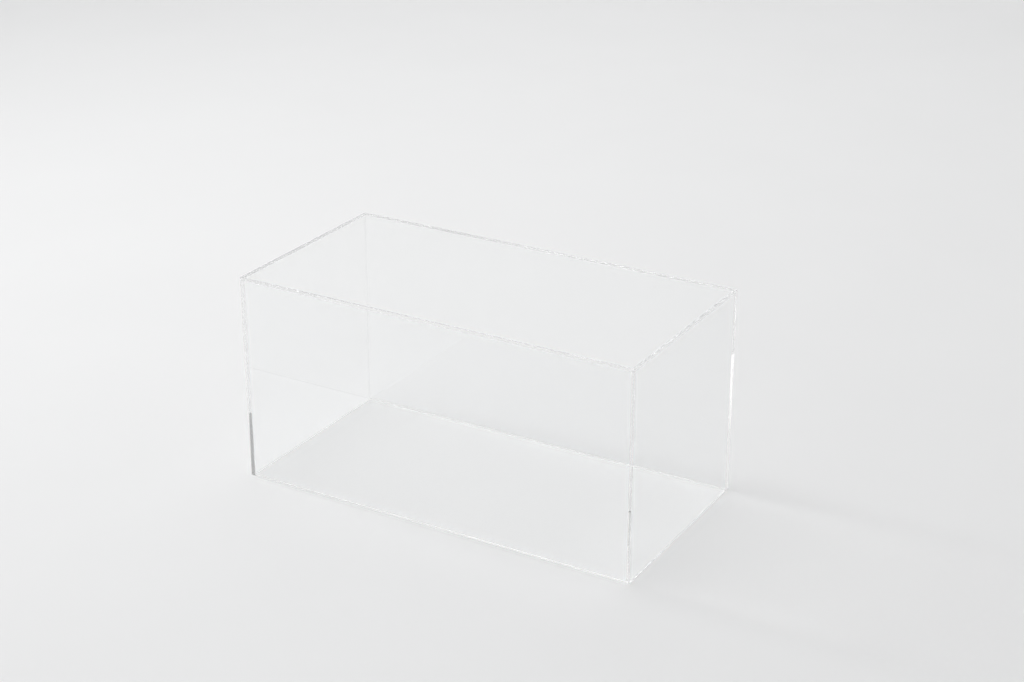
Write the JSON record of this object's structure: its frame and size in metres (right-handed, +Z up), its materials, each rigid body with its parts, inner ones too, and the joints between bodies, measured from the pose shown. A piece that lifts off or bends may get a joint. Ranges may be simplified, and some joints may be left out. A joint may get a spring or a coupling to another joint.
{
  "type": "acrylic display cover",
  "caption": "Clear rectangular cover of bonded flat sheets, open underneath, that stands over objects on show and keeps dust and hands off them.",
  "frame": {"origin": "centre of the footprint, on the plane that the lower edges of the walls stand on", "axes": "+X along the length (left to right as seen from the front), +Y from the front wall to the back wall, +Z up through the top sheet"},
  "size_m": [0.6, 0.3, 0.3],
  "materials": {
    "clear_acrylic": "clear cast sheet, polished faces and polished sawn edges",
    "cured_cement": "clear, cured, faintly hazy"
  },
  "bodies": {
    "root": {"top_panel": "clear_acrylic", "front_panel": "clear_acrylic", "back_panel": "clear_acrylic", "left_panel": "clear_acrylic", "right_panel": "clear_acrylic", "seam_top_front": "cured_cement", "seam_top_back": "cured_cement", "seam_top_left": "cured_cement", "seam_top_right": "cured_cement", "seam_front_left": "cured_cement", "seam_front_right": "cured_cement", "seam_back_left": "cured_cement", "seam_back_right": "cured_cement"}
  },
  "joints": []
}
